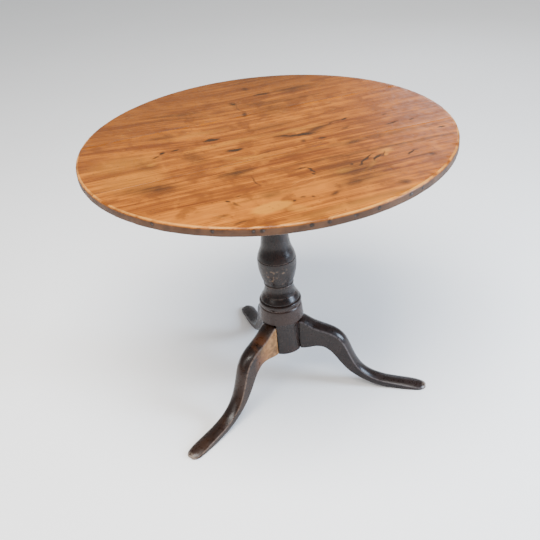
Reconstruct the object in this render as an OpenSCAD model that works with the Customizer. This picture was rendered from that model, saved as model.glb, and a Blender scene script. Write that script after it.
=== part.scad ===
// Tilt-top tripod table: a round jointed top that tips up on two pivot pins,
// on a turned column with three cabriole legs dovetailed into its foot.
// Millimetres. +Z is up, the boards' grain and the hinge run along X,
// and one leg points along +Y. The origin is on the floor under the column.

/* [Top] */
// Diameter of the round top
top_d = 852; // [700:1:1000]
// Thickness of the boards
top_t = 20; // [18:0.5:28]
// Radius that rounds the upper edge of the rim
rim_round = 5; // [2:0.5:8]
// Radius that rounds the lower edge of the rim
under_round = 3; // [1:0.5:6]
// Distance of the front glue joint from the centre
front_joint = 115; // [80:1:180]
// Distance of the back glue joint from the centre
back_joint = 145; // [80:1:180]

/* [Bearers] */
// Distance that each bearer's end stops short of the rim
bearer_inset = 53; // [20:1:90]
// Width of each bearer
bearer_w = 42; // [34:1:60]
// Depth of each bearer below the boards
bearer_h = 34; // [31:1:50]
// Length of the sloping cut at each bearer end
bearer_slope = 55; // [20:1:80]
// Depth left at the bearer tips
bearer_tip = 12; // [8:1:20]

/* [Tilt block] */
// Width of the block between the bearers
block_w = 190; // [150:1:240]
// Depth of the block from front to back
block_d = 190; // [150:1:240]
// Thickness of the block
block_t = 36; // [30:1:44]
// Radius of the pivot pins
pin_r = 9.5; // [7:0.5:11]
// Depth that each pivot pin goes into the block
pin_sink = 45; // [25:1:55]

/* [Column] */
// Height of the top's upper face above the floor
table_h = 710; // [650:1:860]
// Height of the column's underside above the floor
base_z = 122; // [115:1:130]
// Radius of the column at its underside
base_r = 50.8; // [46:0.1:56]
// Radius of the drum's lower edge
drum_r = 57; // [54.5:0.1:64]
// Radius of the neck under the vase
neck_r = 36.6; // [32:0.1:42]
// Widest radius of the vase
vase_r = 49; // [46:0.1:60]
// Radius of the tenon that goes through the block
tenon_r = 18; // [14:0.5:24]

/* [Legs] */
// Reach of each leg from the column's axis to its toe
leg_reach = 374; // [330:1:440]
// Width of a leg at its shoulder
leg_w = 44; // [36:1:54]
// Width of a leg at its ankle
ankle_w = 37; // [30:1:44]
// Width of a leg at its toe
toe_w = 42; // [34:1:50]
// Depth of each leg's dovetail
tail_depth = 16; // [10:1:18]
// Width of the dovetail at the shoulder
tail_neck = 18; // [12:1:22]
// Width of the dovetail at its inner end
tail_end = 24; // [14:1:28]
// Height of the dovetail
tail_h = 85; // [60:1:90]

/* [Ironwork] */
// Thickness of the plate under the column
plate_t = 2.5; // [2:0.5:4]
// Radius of the plate's middle
plate_r = 27; // [22:1:34]
// Width of each arm of the plate
arm_w = 24; // [16:1:30]
// Radius of a nail shank
nail_r = 1.8; // [1.2:0.1:2.4]
// Radius of a bearer screw shank
screw_r = 2.6; // [2:0.1:3.2]
// Radius of a tack head in the rim
tack_r = 2.2; // [1.5:0.1:3]

/* [Catch] */
// Width of the bolt
bolt_w = 17; // [12:0.5:22]
// Length of the bolt
bolt_l = 36; // [30:1:44]
// Height of the bolt's nose
nose_h = 6; // [4:0.5:7]
// Travel of the bolt
bolt_travel = 8; // [5:0.5:10]
// Wall of the catch's case
case_wall = 1.5; // [1:0.5:2.5]
// Thickness of the catch's mounting plate
catch_plate_t = 2.5; // [1.5:0.5:3.5]
// Thickness of the keeper plate
keeper_t = 2; // [1.5:0.5:3]
// Radius of the catch's knob
knob_r = 7.5; // [5:0.5:9]

/* [Clearances] */
// Gap between the block and the boards that lie over it
tilt_gap = 0.4; // [0.3:0.1:0.8]
// Gap between the block's sides and the bearers
side_gap = 1; // [0.5:0.1:2]
// Radial play of the pivot pins in the bearers
pin_play = 0.08; // [0.04:0.01:0.1]
// Glue line round a dovetail, a tenon or a pin in its hole
glue_gap = 0.05; // [0.03:0.01:0.1]
// Play of the bolt in its case
slide_gap = 0.3; // [0.2:0.05:0.5]
// Gap between the catch and the keeper plate
catch_gap = 2; // [1.5:0.1:3]

/* [Hidden] */
$fn = 96;

walnut = [0.70, 0.43, 0.16];
stained = [0.18, 0.10, 0.08];
plain_wood = [0.36, 0.22, 0.12];
iron = [0.16, 0.15, 0.14];
brass = [0.72, 0.55, 0.26];
cut = 1; // how far a cutting shape runs past a face

// Heights that follow from the table's height
top_r = top_d / 2;
under_z = table_h - top_t;
block_top = under_z - tilt_gap;
block_z = block_top - block_t;
pin_z = block_top - block_t / 2;
pin_y = -block_d / 2 + block_t / 2;
bearer_x = block_w / 2 + side_gap;
bearer_z = under_z - bearer_h;
bearer_half = sqrt(pow(top_r, 2) - pow(bearer_x + bearer_w, 2)) - bearer_inset;
pin_l = pin_sink + side_gap + bearer_w - 1;

// Column
drum_z = base_z + 95;
neck_z = drum_z + 101;
vase_z = drum_z + 166;
collar_h = 15;
tenon_top = block_top - 1;
wedge_t = 3.4;
wedge_l = 30;

// Legs
leg_angles = [-150, -30, 90];
housing = 0.5; // least depth that a leg's shoulder is let into the column
shoulder = sqrt(pow(base_r, 2) - pow(leg_w / 2, 2)) - housing;
leg_top = drum_z - 0.1;
leg_run = leg_reach - shoulder;
toe_flat = 46;
toe_lift = 3;
steps = 4; // straight pieces in each stretch of a curved outline

// Ironwork
arm_reach = 96;
arm_nail = 70;
hub_nail = 17;
nail_l = 22;
nail_head_r = 4;
nail_head_t = 1.6;
bearer_screws = [
    50 - bearer_half, 160 - bearer_half, 10,
    bearer_half - 150, bearer_half - 50
];
screw_head_r = 5;
screw_head_t = 3;
screw_bite = 13;
screw_wood = 14; // wood left over the head of a bearer screw
tack_l = 10;
tack_head_t = 0.9;
tack_shank_r = 0.9;
tack_sink = 0.1;
tack_drop = 8; // tacks stand this far below the upper face
tack_angles = [
    -139, -122, -112, -109.5, -98, -93, -86.5, -79.5, -68.5, -64, -38, -8,
    7, 34, 61, 83, 107, 128, 151, 172, 189
];

// Catch, from the block's back face outwards
block_back = block_d / 2;
case_y = block_back + keeper_t + catch_gap;
catch_z = under_z - catch_plate_t;
bolt_h = 10;
case_in_w = bolt_w + 2 * slide_gap;
case_in_h = bolt_h + 2 * slide_gap;
case_w = case_in_w + 2 * case_wall;
case_z = catch_z - case_in_h - case_wall;
bolt_z = catch_z - slide_gap - bolt_h;
bolt_y = case_y + 0.5;
nose_l = bolt_travel + 6;
spring_l = 22;
spring_wire = 0.5;
spring_r = 3.4;
spring_coils = 9;
case_l = bolt_l + spring_l + case_wall + 0.5;
catch_plate_w = 52;
catch_plate_l = case_l + 12;
catch_screw_x = 19.5;
catch_screw_r = 1.8;
catch_screw_l = 14;
catch_head_r = 3.4;
catch_screw_in = 7; // from the catch plate's ends to its screws
knob_stem_r = 3;
knob_peg_r = 2.2; // the stem's thinner end, riveted into the bolt
knob_peg_l = 5.9;
knob_y = bolt_y + nose_l + 8;
knob_h = 15;
keeper_w = 52;
keeper_h = 26;
keeper_screw_z = -8.5;
slot_w = bolt_w + 4 * slide_gap;
slot_h = nose_h + 4 * slide_gap;
slot_z = bolt_z - 2 * slide_gap;
pocket_d = 9;

// ---- outlines ----

// One point of a smooth curve through b and c, with a and d beside them
function smooth(a, b, c, d, t) =
    0.5 * (2 * b + (c - a) * t + (2 * a - 5 * b + 4 * c - d) * t * t
           + (3 * b - a - 3 * c + d) * t * t * t);

// A smooth curve through every point of a list
function curve(p, n) = [
    for (i = [0 : len(p) - 2], k = [0 : n - 1])
        smooth(p[max(i - 1, 0)], p[i], p[i + 1], p[min(i + 2, len(p) - 1)], k / n),
    p[len(p) - 1]
];

// A bead that stands out of a turned shape: points on its half round
function bead(r, z, half_h, proud, n) = [
    for (i = [0 : n]) [r + proud * sin(180 * i / n), z - half_h * cos(180 * i / n)]
];

// A point on the leg's side: u runs from the shoulder to the toe, v is a share of the height
function leg_point(u, v, height) = [shoulder + u * leg_run, v * height];

// The upper line of a leg, from the shoulder to the toe
crest = curve([
    [shoulder, leg_top],
    leg_point(0.045, 0.982, leg_top),
    leg_point(0.107, 0.920, leg_top),
    leg_point(0.229, 0.850, leg_top),
    leg_point(0.318, 0.775, leg_top),
    leg_point(0.372, 0.675, leg_top),
    leg_point(0.404, 0.555, leg_top),
    leg_point(0.440, 0.418, leg_top),
    leg_point(0.488, 0.287, leg_top),
    leg_point(0.561, 0.190, leg_top),
    leg_point(0.668, 0.129, leg_top),
    leg_point(0.774, 0.103, leg_top),
    leg_point(0.881, 0.085, leg_top),
    leg_point(0.955, 0.060, leg_top),
    leg_point(0.993, 0.030, leg_top)
], steps);

// The lower line of a leg, from the shoulder to where the foot meets the floor
belly = curve([
    [shoulder, base_z],
    leg_point(0.073, 1.030, base_z),
    leg_point(0.134, 1.060, base_z),
    leg_point(0.189, 1.045, base_z),
    leg_point(0.238, 0.962, base_z),
    leg_point(0.287, 0.790, base_z),
    leg_point(0.348, 0.545, base_z),
    leg_point(0.424, 0.338, base_z),
    leg_point(0.518, 0.182, base_z),
    leg_point(0.628, 0.072, base_z),
    leg_point(0.750, 0.015, base_z),
    [leg_reach - toe_flat, 0]
], steps);

// Half of a leg's plan, from the shoulder to the start of the round toe
leg_side = curve([
    [shoulder, leg_w / 2],
    [shoulder + 0.25 * leg_run, (leg_w + ankle_w) / 4],
    [shoulder + 0.50 * leg_run, ankle_w / 2],
    [shoulder + 0.75 * leg_run, (ankle_w + toe_w) / 4],
    [leg_reach - toe_w / 2, toe_w / 2]
], steps);

// The turned outline of the column, as radius and height, from foot to collar
column_line = concat(
    [
        [0, base_z],
        [base_r, base_z],
        [base_r + 2.7, drum_z],
        [drum_r, drum_z],
        [drum_r - 0.7, drum_z + 7],
        [drum_r - 3.2, drum_z + 36],
        [drum_r - 5.0, drum_z + 39]
    ],
    bead(drum_r - 5.4, drum_z + 47.5, 6.5, 2.4, 8),
    [[drum_r - 7.6, drum_z + 56]],
    curve([
        [drum_r - 7.0, drum_z + 57],
        [drum_r - 10.0, drum_z + 63],
        [drum_r - 14.6, drum_z + 71]
    ], steps),
    [[drum_r - 15.9, drum_z + 72]],
    curve([
        [drum_r - 15.4, drum_z + 73],
        [drum_r - 18.4, drum_z + 81],
        [neck_r + 0.2, drum_z + 91],
        [neck_r + 0.4, neck_z - 2]
    ], steps),
    bead(neck_r + 0.4, neck_z, 2, 1.2, 6),
    curve([
        [neck_r + 0.8, neck_z + 2],
        [neck_r + 4.3, neck_z + 14],
        [vase_r - 5.0, neck_z + 26],
        [vase_r - 2.3, neck_z + 38],
        [vase_r - 0.6, neck_z + 50],
        [vase_r, vase_z - 2],
        [vase_r - 0.4, vase_z + 8]
    ], steps),
    [[vase_r - 1.5, vase_z + 9]],
    curve([
        [vase_r - 0.7, vase_z + 10],
        [vase_r - 3.9, vase_z + 21],
        [vase_r - 8.4, vase_z + 33],
        [vase_r - 12.0, vase_z + 45],
        [vase_r - 14.6, vase_z + 62],
        [vase_r - 18.6, vase_z + 92],
        [vase_r - 19.8, vase_z + 112]
    ], steps),
    bead(vase_r - 19.8, vase_z + 118, 5, 4.6, 8),
    [
        [vase_r - 20.8, vase_z + 124],
        [vase_r - 20.8, vase_z + 130],
        [vase_r - 17.2, block_z - collar_h - 8],
        [vase_r - 17.8, block_z - collar_h - 4]
    ],
    bead(vase_r - 16.2, block_z - collar_h, 3, 3, 6),
    [
        [vase_r - 13.2, block_z - collar_h + 4],
        [vase_r - 11.8, block_z],
        [0, block_z]
    ]
);

// ---- small shared shapes ----

// A rod along +Z with a wider head at its foot
module headed_rod(shank_r, shank_l, head_r, head_t) {
    cylinder(r = head_r, h = head_t);
    translate([0, 0, head_t / 2]) cylinder(r = shank_r, h = shank_l + head_t / 2);
}

// A wood screw with a flat countersunk head at z 0 and a slot across it
module wood_screw(shank_r, shank_l, head_r, head_t) {
    difference() {
        union() {
            cylinder(r1 = head_r, r2 = shank_r, h = head_t);
            cylinder(r = shank_r, h = shank_l);
        }
        translate([-head_r, -0.4, -cut]) cube([2 * head_r, 0.8, cut + 1]);
    }
}

// The space that a wood screw fills, with play all round
module screw_space(shank_r, shank_l, head_r, head_t, play) {
    translate([0, 0, -cut]) cylinder(r = head_r + play, h = cut);
    cylinder(r1 = head_r + play, r2 = shank_r + play, h = head_t);
    cylinder(r = shank_r + play, h = shank_l + play);
}

// ---- the top ----

// Points on a quarter round about a centre, from one angle to the next
function quarter(x, y, r, a) = [for (i = [0 : 6]) [x + r * cos(a + 15 * i), y + r * sin(a + 15 * i)]];

// The round disc that the boards are cut from, with its rounded rim
module disc() {
    translate([0, 0, under_z]) rotate_extrude() polygon(concat(
        [[0, 0]],
        quarter(top_r - under_round, under_round, under_round, -90),
        quarter(top_r - rim_round, top_t - rim_round, rim_round, 0),
        [[0, top_t]]
    ));
}

// Places its children at each bearer screw; side is -1 on the left and 1 on the right
module at_bearer_screws(side) {
    for (y = bearer_screws) translate([side * (bearer_x + bearer_w / 2), y, 0]) children();
}

// Places its children at each tack, pointing in towards the middle
module at_tacks() {
    for (a = tack_angles)
        rotate([0, 0, a]) translate([top_r - tack_sink, 0, table_h - tack_drop])
            rotate([0, -90, 0]) children();
}

// The bearer screws' holes in the boards
module board_screw_holes() {
    for (side = [-1, 1]) at_bearer_screws(side)
        translate([0, 0, under_z - cut])
            cylinder(r = screw_r + glue_gap, h = cut + screw_bite + glue_gap);
}

// The catch screws' holes in the back board or the middle one
module catch_screw_holes() {
    at_catch_screws() translate([0, 0, catch_z])
        screw_space(catch_screw_r, catch_screw_l, catch_head_r, catch_plate_t - 0.5, glue_gap);
}

// One board: the part of the disc between two lines along the grain
module board(y0, y1) {
    color(walnut) difference() {
        intersection() {
            disc();
            translate([-top_r - cut, y0, under_z - cut])
                cube([top_d + 2 * cut, y1 - y0, top_t + 2 * cut]);
        }
        board_screw_holes();
        catch_screw_holes();
        at_tacks() translate([0, 0, -cut])
            cylinder(r = tack_r + glue_gap, h = cut + tack_head_t + glue_gap);
        at_tacks() cylinder(r = tack_shank_r + glue_gap, h = tack_l + tack_head_t + glue_gap);
    }
}

module board_front() { board(-top_r - cut, -front_joint); }
module board_middle() { board(-front_joint, back_joint); }
module board_back() { board(back_joint, top_r + cut); }

module rim_tacks() {
    color(iron) at_tacks() headed_rod(tack_shank_r, tack_l, tack_r, tack_head_t);
}

// A bearer with sloping ends, a hole for its pivot pin and deep holes for its screws
module bearer(side) {
    half = bearer_half;
    well = bearer_h - screw_wood;
    color(plain_wood) difference() {
        translate([side * bearer_x, 0, 0]) mirror([side < 0 ? 1 : 0, 0, 0])
            rotate([90, 0, 90]) linear_extrude(height = bearer_w) polygon([
                [-half, under_z],
                [-half, under_z - bearer_tip],
                [-half + bearer_slope, bearer_z],
                [half - bearer_slope, bearer_z],
                [half, under_z - bearer_tip],
                [half, under_z]
            ]);
        translate([0, pin_y, pin_z]) rotate([0, side * 90, 0])
            cylinder(r = pin_r + pin_play, h = top_r);
        at_bearer_screws(side) translate([0, 0, bearer_z - cut])
            cylinder(r = screw_head_r + 1, h = cut + well);
        at_bearer_screws(side) translate([0, 0, bearer_z])
            cylinder(r = screw_r + glue_gap, h = bearer_h + cut);
    }
}

module bearer_left() { bearer(-1); }
module bearer_right() { bearer(1); }

// The screws that hold a bearer up to the boards, their heads deep in its underside
module bearer_screws(side) {
    well = bearer_h - screw_wood;
    color(iron) at_bearer_screws(side) translate([0, 0, bearer_z + well - screw_head_t]) difference() {
        headed_rod(screw_r, bearer_h - well + screw_bite, screw_head_r, screw_head_t);
        translate([-screw_head_r, -0.5, -cut]) cube([2 * screw_head_r, 1, cut + 1]);
    }
}

module bearer_screws_left() { bearer_screws(-1); }
module bearer_screws_right() { bearer_screws(1); }

// ---- the catch under the top ----

// Places its children at each of the catch plate's four screws
module at_catch_screws() {
    rows = [case_y + catch_screw_in, case_y + catch_plate_l - catch_screw_in];
    for (x = [-catch_screw_x, catch_screw_x], y = rows) translate([x, y, 0]) children();
}

module catch_plate() {
    color(brass) difference() {
        translate([-catch_plate_w / 2, case_y, catch_z])
            cube([catch_plate_w, catch_plate_l, catch_plate_t]);
        catch_screw_holes();
    }
}

// The channel that the bolt slides in: open at the front, slotted below for the knob
module catch_case() {
    slot_r = knob_stem_r + slide_gap;
    color(brass) difference() {
        translate([-case_w / 2, case_y, case_z])
            cube([case_w, case_l + case_wall, catch_z - case_z]);
        translate([-case_in_w / 2, case_y - cut, case_z + case_wall])
            cube([case_in_w, case_l + cut, case_in_h + cut]);
        for (y = [knob_y - bolt_travel, knob_y]) translate([0, y, case_z - cut])
            cylinder(r = slot_r, h = case_wall + 2 * cut);
        translate([-slot_r, knob_y - bolt_travel, case_z - cut])
            cube([2 * slot_r, bolt_travel, case_wall + 2 * cut]);
    }
}

// The coil spring behind the bolt, one ring swept along its helix
module catch_spring() {
    sides = 8;
    per_turn = 16;
    count = spring_coils * per_turn;
    start = bolt_y + bolt_l + spring_wire + 0.1;
    run = spring_l - 2 * spring_wire - 0.2;
    mid_z = bolt_z + bolt_h / 2;
    points = [
        for (i = [0 : count], k = [0 : sides - 1])
            let (a = 360 * i / per_turn, b = 360 * k / sides, r = spring_r + spring_wire * cos(b))
                [r * cos(a), start + run * i / count + spring_wire * sin(b), mid_z + r * sin(a)]
    ];
    skin = [
        for (i = [0 : count - 1], k = [0 : sides - 1])
            let (a = i * sides, n = (k + 1) % sides)
                [a + k, a + n, a + sides + n, a + sides + k]
    ];
    ends = [
        [for (k = [sides - 1 : -1 : 0]) k],
        [for (k = [0 : sides - 1]) count * sides + k]
    ];
    color(iron) polyhedron(points = points, faces = concat(skin, ends));
}

module catch_screws() {
    color(brass) at_catch_screws() translate([0, 0, catch_z])
        wood_screw(catch_screw_r, catch_screw_l, catch_head_r, catch_plate_t - 0.5);
}

// The sprung bolt, drawn back: a block with a lower nose, bevelled underneath
module catch_bolt() {
    color(brass) difference() {
        translate([-bolt_w / 2, 0, 0]) rotate([90, 0, 90]) linear_extrude(height = bolt_w) polygon([
            [bolt_y, bolt_z + nose_h],
            [bolt_y, bolt_z + nose_h / 2],
            [bolt_y + nose_h / 2, bolt_z],
            [bolt_y + bolt_l, bolt_z],
            [bolt_y + bolt_l, bolt_z + bolt_h],
            [bolt_y + nose_l, bolt_z + bolt_h],
            [bolt_y + nose_l, bolt_z + nose_h]
        ]);
        translate([0, knob_y, bolt_z - cut]) cylinder(r = knob_peg_r, h = cut + knob_peg_l + 0.1);
    }
}

// A turned knob under the bolt, its stem through the case's slot
module catch_knob() {
    ball_z = case_z - slide_gap - knob_h + knob_r;
    waist_z = case_z - slide_gap;
    color(brass) translate([0, knob_y, 0]) {
        translate([0, 0, bolt_z]) cylinder(r = knob_peg_r, h = knob_peg_l);
        translate([0, 0, waist_z - 5]) cylinder(r = knob_stem_r, h = bolt_z - waist_z + 5);
        translate([0, 0, ball_z]) sphere(r = knob_r);
        translate([0, 0, waist_z - 2.2]) cylinder(r = knob_stem_r + 1.6, h = 2);
    }
}

// ---- the stand ----

// A dovetail along X, from below the shoulder line up; play widens it for its socket
module tail(play) {
    inner = shoulder - tail_depth - play;
    linear_extrude(height = tail_h + play) polygon([
        [shoulder + 2, -tail_neck / 2 - play],
        [shoulder, -tail_neck / 2 - play],
        [inner, -tail_end / 2 - play],
        [inner, tail_end / 2 + play],
        [shoulder, tail_neck / 2 + play],
        [shoulder + 2, tail_neck / 2 + play]
    ]);
}

// Places its children at each nail of the base plate; hub nails go into the column
module at_hub_nails() {
    for (a = leg_angles) rotate([0, 0, a + 60]) translate([hub_nail, 0, base_z - plate_t])
        children();
}
module at_arm_nails() {
    for (a = leg_angles) rotate([0, 0, a]) translate([arm_nail, 0, belly_z(arm_nail) - plate_t])
        children();
}

// Height of a leg's lower line at a distance from the axis, out to the end of the plate's arm
function belly_z(s) = lookup(s, [for (p = belly) if (p[0] < shoulder + leg_run / 3) p]);

module column() {
    color(stained) difference() {
        union() {
            rotate_extrude() polygon(column_line);
            translate([0, 0, block_z - cut]) cylinder(r = tenon_r, h = tenon_top - block_z + cut);
        }
        for (a = leg_angles) rotate([0, 0, a]) {
            translate([shoulder, -leg_w / 2, base_z - cut])
                cube([drum_r, leg_w, drum_z - base_z + cut]);
            translate([0, 0, base_z - cut]) tail(glue_gap);
            translate([0, 0, base_z]) tail(glue_gap);
        }
        wedge_shape(glue_gap);
        at_hub_nails() cylinder(r = nail_r + glue_gap, h = nail_l + plate_t);
    }
}

// The wedge driven into the tenon's top; play makes room for it
module wedge_shape(play) {
    rotate([90, 0, 0]) linear_extrude(height = 2 * tenon_r + 2 * play, center = true) polygon([
        [-0.5 - play, tenon_top - wedge_l - play],
        [0.5 + play, tenon_top - wedge_l - play],
        [wedge_t / 2 + play, tenon_top + play],
        [-wedge_t / 2 - play, tenon_top + play]
    ]);
}

module tenon_wedge() {
    color(plain_wood) intersection() {
        wedge_shape(0);
        translate([0, 0, block_z]) cylinder(r = tenon_r, h = block_t);
    }
}

// A cabriole leg along X: its side outline cut to its plan outline, with its dovetail
module leg() {
    side = concat(
        crest,
        [[leg_reach, toe_lift + 2], [leg_reach, toe_lift], [leg_reach - toe_lift, 0]],
        [for (i = [len(belly) - 1 : -1 : 0]) belly[i]]
    );
    toe_x = leg_reach - toe_w / 2;
    plan = concat(
        leg_side,
        [for (a = [80 : -10 : -80]) [toe_x + toe_w / 2 * cos(a), toe_w / 2 * sin(a)]],
        [for (i = [len(leg_side) - 1 : -1 : 0]) [leg_side[i][0], -leg_side[i][1]]]
    );
    color(stained) difference() {
        union() {
            intersection() {
                rotate([90, 0, 0]) linear_extrude(height = 2 * leg_w, center = true) polygon(side);
                translate([0, 0, -cut]) linear_extrude(height = leg_top + 2 * cut) polygon(plan);
            }
            translate([0, 0, base_z]) tail(0);
        }
        translate([arm_nail, 0, belly_z(arm_nail) - cut])
            cylinder(r = nail_r + glue_gap, h = nail_l + cut);
    }
}

module leg_left() { rotate([0, 0, leg_angles[0]]) leg(); }
module leg_right() { rotate([0, 0, leg_angles[1]]) leg(); }
module leg_back() { rotate([0, 0, leg_angles[2]]) leg(); }

// The block: its upper front edge is a quarter round about the pins, its lower one the stop
module tilt_block() {
    color(plain_wood) difference() {
        union() {
            translate([-block_w / 2, pin_y, block_z])
                cube([block_w, block_back - pin_y, block_t]);
            translate([-block_w / 2, -block_d / 2, block_z])
                cube([block_w, block_t / 2 + cut, block_t / 2]);
            translate([-block_w / 2, pin_y, pin_z]) rotate([0, 90, 0])
                cylinder(r = block_t / 2, h = block_w);
        }
        translate([0, 0, block_z - cut]) cylinder(r = tenon_r + glue_gap, h = block_t + 2 * cut);
        for (side = [-1, 1]) translate([side * (block_w / 2 - pin_sink - glue_gap), pin_y, pin_z])
            rotate([0, side * 90, 0]) cylinder(r = pin_r + glue_gap, h = pin_sink + cut);
        translate([-slot_w / 2, block_back - pocket_d, slot_z])
            cube([slot_w, pocket_d + cut, slot_h]);
        at_keeper_screws() screw_space(catch_screw_r, catch_screw_l, catch_head_r, keeper_t, glue_gap);
    }
}

module pivot_pin(side) {
    color(stained) translate([side * (block_w / 2 - pin_sink), pin_y, pin_z])
        rotate([0, side * 90, 0]) cylinder(r = pin_r, h = pin_l);
}

module pivot_pin_left() { pivot_pin(-1); }
module pivot_pin_right() { pivot_pin(1); }

// Places its children at the keeper's screws, pointing into the block's back face
module at_keeper_screws() {
    for (x = [-catch_screw_x, catch_screw_x])
        translate([x, block_back + keeper_t, slot_z + keeper_screw_z]) rotate([90, 0, 0])
            children();
}

// The plate on the block's back face that the bolt shoots into
module keeper_plate() {
    color(brass) difference() {
        translate([-keeper_w / 2, block_back, block_top - keeper_h])
            cube([keeper_w, keeper_t, keeper_h]);
        translate([-slot_w / 2, block_back - cut, slot_z])
            cube([slot_w, keeper_t + 2 * cut, slot_h]);
        at_keeper_screws() screw_space(catch_screw_r, catch_screw_l, catch_head_r, keeper_t, glue_gap);
    }
}

module keeper_screws() {
    color(brass) at_keeper_screws()
        wood_screw(catch_screw_r, catch_screw_l, catch_head_r, keeper_t);
}

// The three-armed plate nailed under the column and the legs, which stops them spreading
module base_plate() {
    under = [for (p = belly) if (p[0] <= arm_reach) p];
    arm = concat(
        [[0, base_z]], under,
        [for (i = [len(under) - 1 : -1 : 0]) under[i] - [0, plate_t]],
        [[0, base_z - plate_t]]
    );
    color(iron) difference() {
        union() {
            translate([0, 0, base_z - plate_t]) cylinder(r = plate_r, h = plate_t);
            for (a = leg_angles) rotate([0, 0, a]) rotate([90, 0, 0])
                linear_extrude(height = arm_w, center = true) polygon(arm);
        }
        at_hub_nails() translate([0, 0, -cut]) cylinder(r = nail_r + glue_gap, h = plate_t + 2 * cut);
        at_arm_nails() translate([0, 0, -2 * cut])
            cylinder(r = nail_r + glue_gap, h = plate_t + 4 * cut);
    }
}

module base_plate_nails() {
    color(iron) {
        at_hub_nails() translate([0, 0, -nail_head_t])
            headed_rod(nail_r, nail_l, nail_head_r, nail_head_t);
        at_arm_nails() translate([0, 0, -nail_head_t - 0.8])
            headed_rod(nail_r, nail_l, nail_head_r, nail_head_t);
    }
}

board_front();
board_middle();
board_back();
rim_tacks();
bearer_left();
bearer_right();
bearer_screws_left();
bearer_screws_right();
catch_plate();
catch_case();
catch_spring();
catch_screws();
catch_bolt();
catch_knob();
column();
leg_left();
leg_right();
leg_back();
tilt_block();
tenon_wedge();
pivot_pin_left();
pivot_pin_right();
keeper_plate();
keeper_screws();
base_plate();
base_plate_nails();
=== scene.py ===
import math

import bmesh
import bpy
from mathutils import Matrix, Vector


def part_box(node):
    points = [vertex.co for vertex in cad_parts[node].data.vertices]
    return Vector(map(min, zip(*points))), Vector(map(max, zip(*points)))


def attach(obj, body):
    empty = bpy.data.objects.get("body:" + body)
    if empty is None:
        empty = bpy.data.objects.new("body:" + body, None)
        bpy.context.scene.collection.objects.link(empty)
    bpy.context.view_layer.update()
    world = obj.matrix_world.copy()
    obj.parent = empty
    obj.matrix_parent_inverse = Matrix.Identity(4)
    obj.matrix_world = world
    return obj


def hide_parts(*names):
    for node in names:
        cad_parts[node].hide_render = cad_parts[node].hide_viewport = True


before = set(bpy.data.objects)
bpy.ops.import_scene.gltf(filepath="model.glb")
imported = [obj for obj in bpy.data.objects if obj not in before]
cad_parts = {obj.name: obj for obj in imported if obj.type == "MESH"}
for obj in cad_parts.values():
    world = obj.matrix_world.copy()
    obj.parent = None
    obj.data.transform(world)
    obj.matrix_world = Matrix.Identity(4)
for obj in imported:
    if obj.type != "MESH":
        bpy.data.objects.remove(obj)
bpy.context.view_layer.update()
mm = 0.001
past = 10 * mm  # how far a cutter stands past the piece it cuts
close = 1e-6  # two places nearer than this are the same place


def deselectAll():
    if bpy.context.mode != "OBJECT":
        bpy.ops.object.mode_set(mode="OBJECT")
    bpy.ops.object.select_all(action="DESELECT")


def named(name):
    # the object that was just added, under its piece name and with its place in its mesh
    piece = bpy.context.object
    piece.name = name
    piece.data.name = name
    bpy.ops.object.transform_apply(location=True, rotation=True, scale=True)
    return piece


def editOn(piece):
    deselectAll()
    piece.select_set(True)
    bpy.context.view_layer.objects.active = piece
    bpy.ops.object.mode_set(mode="EDIT")


def editOff():
    bpy.ops.object.mode_set(mode="OBJECT")


def pick(piece, kind, test):
    # selects only the verts, edges or faces that pass the test
    modes = {"verts": "VERT", "edges": "EDGE", "faces": "FACE"}
    bpy.ops.mesh.select_mode(type=modes[kind])
    bpy.ops.mesh.select_all(action="DESELECT")
    mesh = bmesh.from_edit_mesh(piece.data)
    for item in getattr(mesh, kind):
        item.select_set(test(item))
    mesh.select_flush_mode()
    bmesh.update_edit_mesh(piece.data)


def ends(edge):
    return edge.verts[0].co, edge.verts[1].co


def applyAll(piece):
    deselectAll()
    piece.select_set(True)
    bpy.context.view_layer.objects.active = piece
    for modifier in list(piece.modifiers):
        bpy.ops.object.modifier_apply(modifier=modifier.name)


def cubeBetween(name, low, high):
    low, high = Vector(low), Vector(high)
    deselectAll()
    bpy.ops.mesh.primitive_cube_add(size=1, location=(low + high) / 2, scale=high - low)
    return named(name)


def rodBetween(name, start, end, radius, sides=64):
    start, end = Vector(start), Vector(end)
    turn = (end - start).to_track_quat("Z", "Y").to_euler()
    deselectAll()
    bpy.ops.mesh.primitive_cylinder_add(
        vertices=sides, radius=radius, depth=(end - start).length, location=(start + end) / 2, rotation=turn)
    return named(name)


def carve(piece, *cutters):
    # takes each cutter's shape out of the piece and throws the cutter away
    for cutter in cutters:
        cut = piece.modifiers.new("cut", "BOOLEAN")
        cut.operation = "DIFFERENCE"
        cut.solver = "EXACT"
        cut.object = cutter
        applyAll(piece)
        bpy.data.objects.remove(cutter)


def softenEdges(piece, width, segments=3, angle=40):
    bevel = piece.modifiers.new("soften", "BEVEL")
    bevel.width = width
    bevel.segments = segments
    bevel.limit_method = "ANGLE"
    bevel.angle_limit = math.radians(angle)
    applyAll(piece)


def unevenness(piece, size, depth, direction="NORMAL", group=""):
    # lets the surface sink by up to the depth, in soft hollows of about that size
    cloud = bpy.data.textures.new("unevenness", "CLOUDS")
    cloud.noise_scale = size
    sink = piece.modifiers.new("uneven", "DISPLACE")
    sink.texture = cloud
    sink.texture_coords = "LOCAL"
    sink.direction = direction
    sink.strength = depth
    sink.mid_level = 1
    sink.vertex_group = group
    applyAll(piece)


def smoothOff(piece, angle=32):
    deselectAll()
    piece.select_set(True)
    bpy.context.view_layer.objects.active = piece
    bpy.ops.object.shade_smooth_by_angle(angle=math.radians(angle))


def fitPiece(piece, body, slot, material, *nodes):
    piece.data.materials.clear()
    piece.data.materials.append(material)
    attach(piece, body)
    if nodes:
        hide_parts(*nodes)
    return piece


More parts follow.
